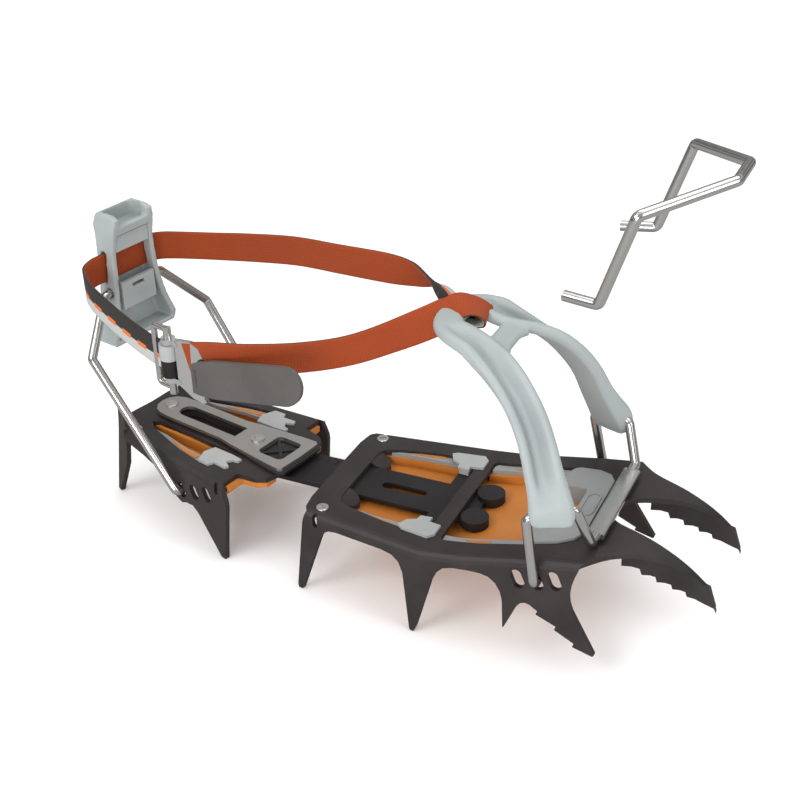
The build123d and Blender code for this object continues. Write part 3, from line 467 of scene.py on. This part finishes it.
def lengths(name, rows, steps, front, reverse, cuts):
    """A strap in lengths. Each cut gives the share of the line where its length ends and the two bodies at its
    joint; a length whose second body is None is attached to the first, and the others are left unattached.
    The last two numbers of a cut, where along the length it starts and stops bending, are not used."""
    line = smooth_line(rows, steps)
    made, first, run = [], 0, 0.0
    for n, (share, a, b, start, end) in enumerate(cuts):
        last = round(share * steps)
        piece, run = band(f"{name}_{n + 1}", line[first:last + 1], front, reverse, run)
        if b is None:
            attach(piece, a)
        else:
            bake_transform(piece)
        made.append(piece)
        first = last
    return made


# %% Strap from the buckle to the instep and round the bridge
up_z = Vector((0, 0, 1))
near_rows = [
    (heel_point(-50, -47.6, 73.5), Vector((0, 0.0, 1))), (heel_point(-34, -46.6, 78), up_z),
    (heel_point(-18, -42, 80), up_z), (heel_point(0, -28, 80), up_z), (heel_point(16, -12, 81.5), up_z),
    (heel_point(31, 4, 87), Vector((0, 0.15, 1))), (mm(48.2, -1.4, 94.8), Vector((-0.1, 0.5, 0.85))),
    (mm(54, 1.5, 99.3), Vector((-0.2, 0.8, 0.5))), (mm(60, 3.5, 100.1), Vector((-0.2, 0.95, 0.15))),
    (mm(65.0, 5.0, 98.4), Vector((-0.2, 0.97, 0))), (mm(66.4, 6.0, 95.0), Vector((-0.2, 0.97, 0))),
    (mm(63.0, 6.6, 92.5), Vector((-0.2, 0.97, 0))), (mm(57.0, 7.0, 91.9), Vector((-0.2, 0.97, 0)))]
near_strap = lengths("strap_near", near_rows, 66, strap_rust, strap_pattern, [
    (0.42, "heel_section", "front_section", 0.1, 0.9),
    (1.0, "front_section", "toe_bail", 0.05, 0.3)])

# %% Strap from the instep along the far side to the heel lever
far_rows = [
    (heel_point(-139.4, 15.5, 82), up_z), (heel_point(-136, 22.5, 81.6), up_z),
    (heel_point(-128, 29.5, 81), up_z), (heel_point(-110, 37, 82), up_z), (heel_point(-85, 38, 87), up_z),
    (heel_point(-55, 36, 93.5), up_z), (heel_point(-25, 33, 98), up_z), (heel_point(5, 31, 102), up_z),
    (heel_point(20, 31.8, 102.6), Vector((0, -0.35, 1))),
    (heel_point(29, 31.4, 102.2), Vector((0, -0.75, 0.7))),
    (mm(42.5, 14.5, 98.6), Vector((-0.1, -0.97, 0.3))), (mm(49.5, 10.0, 93.6), Vector((0, -0.97, 0.1))),
    (mm(56.4, 7.2, 91.9), Vector((0.2, -0.97, 0)))]
far_strap = lengths("strap_far", far_rows, 80, strap_rust, strap_pattern, [
    (0.12, "heel_lever", "heel_bail", 0.1, 0.9), (0.36, "heel_bail", "heel_section", 0.1, 0.9),
    (0.62, "heel_section", "front_section", 0.1, 0.9), (1.0, "front_section", "toe_bail", 0.1, 0.8)])

# %% Strap from the lever round the heel to the buckle
heel_rows = [
    (heel_point(-139.4, -15.5, 82), up_z), (heel_point(-139.6, -22, 81.6), up_z),
    (heel_point(-137, -29, 80.4), up_z), (heel_point(-127, -35, 78), up_z),
    (heel_point(-110, -39.5, 75), up_z), (heel_point(-92, -43, 72), up_z),
    (heel_point(-76, -46, 70.5), up_z), (heel_point(-66.5, -47, 70), up_z)]
heel_strap = lengths("strap_heel", heel_rows, 44, strap_pattern, strap_rust, [
    (0.3, "heel_lever", "heel_bail", 0.1, 0.9), (1.0, "heel_bail", "heel_section", 0.1, 0.6)])
through_rows = [(heel_point(-139.4, y, 82), up_z) for y in (-16, -8, 0, 8, 16)]
through = lengths("strap_through", through_rows, 8, strap_rust, strap_pattern, [
    (1.0, "heel_lever", None, 0, 0)])
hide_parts("strap_to_buckle")
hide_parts("strap_far")
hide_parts("strap_heel")
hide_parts("strap_in_lever")
print("strap lengths:", len(near_strap + far_strap + heel_strap + through))

# %% [markdown]
# The harness over the instep is one soft moulding: two arms that widen to hold the loops of
# the toe wire. They meet behind in a round nose, and a web joins them in front of it. Each
# arm is a ring of vertices extruded from station to station, so that its outer face can carry
# the long groove, and its width turns from level at the instep to upright at the wire.

# %% Harness arm
# x, y, z of the middle, then x, y, z of the way the width points, then width, thickness, groove
arm_stations = [
    (53.0, 0.6, 95.9, -1.0, -0.05, 0.0, 13.0, 4.6, 0.0),
    (53.3, -4.5, 95.9, -0.97, -0.3, 0.0, 13.0, 4.6, 0.0),
    (55.6, -10.6, 95.8, -0.72, -0.72, 0.0, 14.0, 5.0, 0.0),
    (61.0, -14.2, 95.0, -0.3, -0.95, 0.0, 16.5, 5.8, 0.25),
    (68.3, -15.8, 92.9, -0.1, -1.0, 0.0, 18.5, 6.2, 0.8),
    (74.7, -17.9, 90.0, -0.22, -0.97, -0.1, 17.6, 6.4, 1.0),
    (83.3, -21.7, 85.9, -0.5, -0.79, -0.3, 16.2, 6.4, 1.0),
    (92.0, -26.4, 79.7, -0.68, -0.6, -0.4, 15.6, 6.4, 1.0),
    (99.4, -30.4, 71.2, -0.8, -0.45, -0.4, 15.6, 6.6, 1.0),
    (104.8, -33.8, 61.9, -0.85, -0.39, -0.36, 15.8, 7.0, 1.0),
    (109.0, -36.7, 50.9, -0.88, -0.36, -0.3, 16.4, 8.2, 0.75),
    (112.4, -39.4, 42.8, -0.9, -0.36, -0.27, 17.6, 10.0, 0.15),
    (114.6, -41.6, 37.4, -0.91, -0.36, -0.25, 19.0, 11.2, 0.0),
    (115.6, -42.8, 33.4, -0.92, -0.38, -0.25, 19.6, 10.6, 0.0),
    (116.0, -43.4, 29.6, -0.92, -0.38, -0.25, 17.0, 8.4, 0.0)]
arm_ring = [
    (-0.5, 0.05), (-0.5, 0.38), (-0.44, 0.55), (-0.3, 0.55), (-0.23, 0.35), (-0.21, -0.3), (0.0, -0.26),
    (0.17, 0.12), (0.3, 0.4), (0.42, 0.42), (0.5, 0.22), (0.5, -0.2), (0.38, -0.5), (0.0, -0.5),
    (-0.38, -0.5), (-0.5, -0.3)]
flat_ring = [
    (-0.5, 0.05), (-0.5, 0.3), (-0.43, 0.46), (-0.32, 0.5), (-0.24, 0.5), (-0.15, 0.5), (0.0, 0.5),
    (0.14, 0.5), (0.28, 0.5), (0.42, 0.44), (0.5, 0.25), (0.5, -0.2), (0.4, -0.48), (0.0, -0.5),
    (-0.4, -0.48), (-0.5, -0.3)]


def spaced(stations, steps):
    """More stations along the same smooth line."""
    out, last = [], len(stations) - 1
    for k in range(steps + 1):
        u = k / steps * last
        i = min(int(u), last - 1)
        t = u - i
        p = [stations[max(0, min(last, i + j))] for j in (-1, 0, 1, 2)]
        out.append([between(a, b, c, d, t) for a, b, c, d in zip(*p)])
    return out


def station_ring(stations, n):
    x, y, z, ax, ay, az, width, thick, groove = stations[n]
    before, after = stations[max(n - 1, 0)], stations[min(n + 1, len(stations) - 1)]
    ahead = (Vector(after[:3]) - Vector(before[:3])).normalized()
    across = Vector((ax, ay, az))
    across = (across - ahead * across.dot(ahead)).normalized()
    out = across.cross(ahead)
    points = []
    for (u, v), (fu, fv) in zip(arm_ring, flat_ring):
        u, v = fu + (u - fu) * groove, fv + (v - fv) * groove
        points.append((Vector((x, y, z)) - across * u * width + out * v * thick) / 1000)
    return points


def swept(name, rings):
    """Extrude a filled ring from station to station."""
    bpy.ops.object.select_all(action="DESELECT")
    bpy.ops.mesh.primitive_circle_add(vertices=len(rings[0]), radius=0.01, fill_type="NGON")
    piece = bpy.context.object
    piece.name = name
    bpy.ops.object.mode_set(mode="EDIT")
    bpy.ops.mesh.select_all(action="SELECT")
    mesh = bmesh.from_edit_mesh(piece.data)
    for v, place in zip(mesh.verts, rings[0]):
        v.co = place
    bmesh.update_edit_mesh(piece.data)
    for ring in rings[1:]:
        bpy.ops.mesh.extrude_region_move(TRANSFORM_OT_translate={"value": (0, 0, 0.001)})
        mesh = bmesh.from_edit_mesh(piece.data)
        face = [f for f in mesh.faces if f.select][0]
        for v, place in zip(sorted((v for v in face.verts), key=lambda v: v.index), ring):
            v.co = place
        bmesh.update_edit_mesh(piece.data)
    bpy.ops.mesh.select_all(action="SELECT")
    bpy.ops.mesh.normals_make_consistent(inside=False)
    bpy.ops.object.mode_set(mode="OBJECT")
    return piece


def apply_modifier(piece, kind, **settings):
    only(piece)
    modifier = piece.modifiers.new("step", kind)
    for key, value in settings.items():
        setattr(modifier, key, value)
    bpy.ops.object.modifier_apply(modifier="step")


arm_line = spaced(arm_stations, 56)
arms = swept("arm_near", [station_ring(arm_line, n) for n in range(len(arm_line))])
apply_modifier(arms, "MIRROR", use_axis=(False, True, False), use_mirror_merge=False)
print("arms:", len(arms.data.polygons), "faces")

# %% [markdown]
# The web between the arms is thin and widens where it runs into them. A voxel remesh then
# makes one closed skin of the arms and the web, and smoothing rounds the corners.

# %% Web of the harness
COS_TILT, SIN_TILT = math.cos(math.radians(24)), math.sin(math.radians(24))


def web_ring(y):
    """The web's outline across it: flat, and wider where it runs into the arms."""
    flare = max(0.0, abs(y) - 4.0)
    front, rear = 5.2 + 0.035 * flare ** 2, -5.2 - 0.045 * flare ** 2
    shape = [(rear, 0.6), (rear + 1.2, 2.1), (front - 1.2, 2.1), (front, 0.6),
             (front, -0.8), (front - 1.2, -2.1), (rear + 1.2, -2.1), (rear, -0.8)]
    return [mm(77.6 + u * COS_TILT + v * SIN_TILT, y, 89.5 - u * SIN_TILT + v * COS_TILT) for u, v in shape]


web = swept("web", [web_ring(y) for y in range(-12, 13)])


def joined(name, parts):
    bpy.ops.object.select_all(action="DESELECT")
    for part in parts:
        part.select_set(True)
    bpy.context.view_layer.objects.active = parts[0]
    bpy.ops.object.join()
    piece = bpy.context.object
    piece.name = name
    return piece


harness = joined("harness_moulding", [arms, web])
apply_modifier(harness, "REMESH", mode="VOXEL", voxel_size=0.0007)
apply_modifier(harness, "SMOOTH", factor=0.5, iterations=5)
harness.data.materials.clear()
harness.data.materials.append(shell_grey)
bpy.ops.object.shade_smooth()
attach(harness, "toe_bail")
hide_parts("harness")
print("harness:", len(harness.data.polygons), "faces")

# %% [markdown]
# The heel lever is a moulded shell with a thumb cup above, a window for the strap and a well
# below. Its CAD node has the right shape but sharp corners, so a copy is merged, remeshed
# finely and smoothed, which rounds every corner as a mould does.

# %% Softened copies of moulded nodes
def softened(node, name, body, material, voxel, iterations):
    bpy.ops.object.select_all(action="DESELECT")
    piece = nodes[node].copy()
    piece.data = nodes[node].data.copy()
    piece.name = name
    for key in list(piece.keys()):
        if key.startswith("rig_"):
            del piece[key]
    piece.parent = None
    bpy.context.scene.collection.objects.link(piece)
    only(piece)
    bpy.ops.object.mode_set(mode="EDIT")
    bpy.ops.mesh.select_all(action="SELECT")
    bpy.ops.mesh.remove_doubles(threshold=0.00001)
    bpy.ops.object.mode_set(mode="OBJECT")
    apply_modifier(piece, "REMESH", mode="VOXEL", voxel_size=voxel)
    apply_modifier(piece, "SMOOTH", factor=0.5, iterations=iterations)
    bpy.ops.object.shade_smooth()
    piece.data.materials.clear()
    piece.data.materials.append(material)
    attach(piece, body)
    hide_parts(node)
    print(name, len(piece.data.polygons), "faces")
    return piece


lever = softened("heel_lever", "lever_shell", "heel_lever", shell_grey, 0.0006, 5)

# %% [markdown]
# The floor is nearly white and quite matt. Steel sees it grey, so that the undersides of the
# wires keep a dark edge.

# %% Floor finish
ground = Finish("pale_floor", roughness=0.9)
seen_in_steel = ground.node("ShaderNodeLightPath", {}, {}, "Is Glossy Ray")
pale = ground.mix(ground.noise(2.0), (0.86, 0.86, 0.86), (0.9, 0.9, 0.9))
ground.into("Base Color", ground.mix(seen_in_steel, pale, (0.3, 0.3, 0.3)))
floor.data.materials.append(ground.material)
